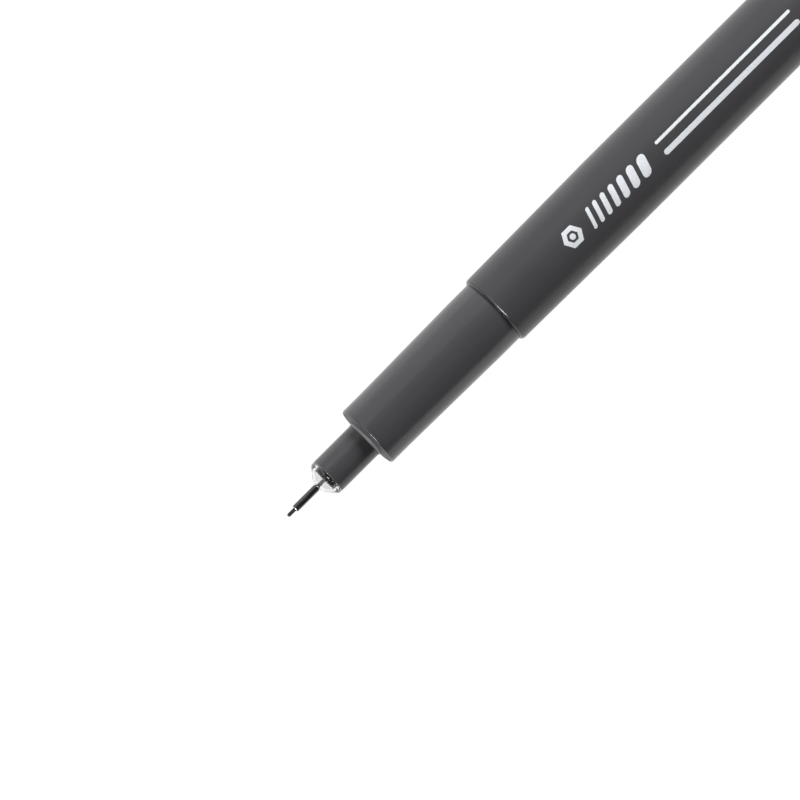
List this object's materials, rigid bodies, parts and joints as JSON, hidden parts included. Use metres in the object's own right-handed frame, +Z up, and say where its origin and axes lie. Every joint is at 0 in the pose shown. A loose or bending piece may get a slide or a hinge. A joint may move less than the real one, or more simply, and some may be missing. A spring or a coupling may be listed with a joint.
{
  "type": "technical pen",
  "caption": "Slim technical drawing pen with a steel-sleeved fine point in a clear cone, a stepped grip, and a clip cap posted on its tail.",
  "frame": {"origin": "on the surface the pen lies on, below its axis, half-way along the posted pen", "axes": "+X along the pen, from the nib towards the cap's crown; +Z up, away from the surface"},
  "size_m": [0.1624, 0.0115, 0.0103],
  "materials": {
    "nib_black": "fine matt",
    "steel_tube": "drawn, polished",
    "clear_plastic": "clear, glossy",
    "black_plastic": "satin",
    "wick_fibre": "bonded fibre, wet with ink",
    "grip_grey": "satin",
    "barrel_grey": "fine satin",
    "reservoir_fibre": "bonded fibre, wet with ink",
    "clear_film": "clear film",
    "breather_white": "satin",
    "cap_grey": "fine satin",
    "liner_white": "soft, milky",
    "clip_steel": "bright, brushed lengthways"
  },
  "bodies": {
    "pen": {"nib": "nib_black", "nib_tube": "steel_tube", "nib_holder": "clear_plastic", "nib_bush": "black_plastic", "relay_wick": "wick_fibre", "grip_section": "grip_grey", "barrel": "barrel_grey", "reservoir_core": "reservoir_fibre", "reservoir_film": "clear_film", "breather_tube": "breather_white", "tail_plug": "barrel_grey"},
    "cap": {"cap_shell": "cap_grey", "inner_cap": "liner_white", "cap_crown": "cap_grey"},
    "clip": {"clip": "clip_steel"}
  },
  "joints": [
    {"name": "cap_pull", "type": "slide", "parent": "pen", "child": "cap", "axis": [1, 0, 0], "range_m": [0, 0.02]},
    {"name": "clip_flex", "type": "hinge", "parent": "cap", "child": "clip", "pos_m": [0.07888, -0.00309, 0.00294], "axis": [0, -0.5807, 0.8141], "range_deg": [0, 3], "stiffness_Nm_per_rad": 0.5}
  ]
}
